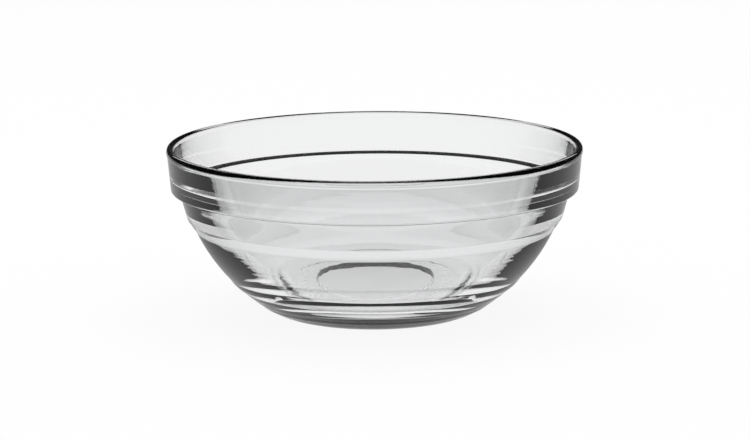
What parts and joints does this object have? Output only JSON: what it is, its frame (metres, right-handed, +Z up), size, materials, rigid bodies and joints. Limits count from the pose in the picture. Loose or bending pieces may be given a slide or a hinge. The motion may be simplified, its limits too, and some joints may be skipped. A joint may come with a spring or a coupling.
{
  "type": "stacking glass bowl",
  "caption": "Round stacking bowl of clear pressed glass: rounded lip, plain band with a ledge under it, stepped shoulder, ribbed lower body, foot ring with a recess.",
  "frame": {"origin": "middle of the foot, on the plane that the foot ring stands on", "axes": "+Z up along the bowl's axis of revolution; +X and +Y are any two square directions, because the bowl is round"},
  "size_m": [0.17, 0.17, 0.0695],
  "materials": {
    "clear_glass": "fire-polished, clear"
  },
  "bodies": {
    "root": {"bowl": "clear_glass"}
  },
  "joints": []
}
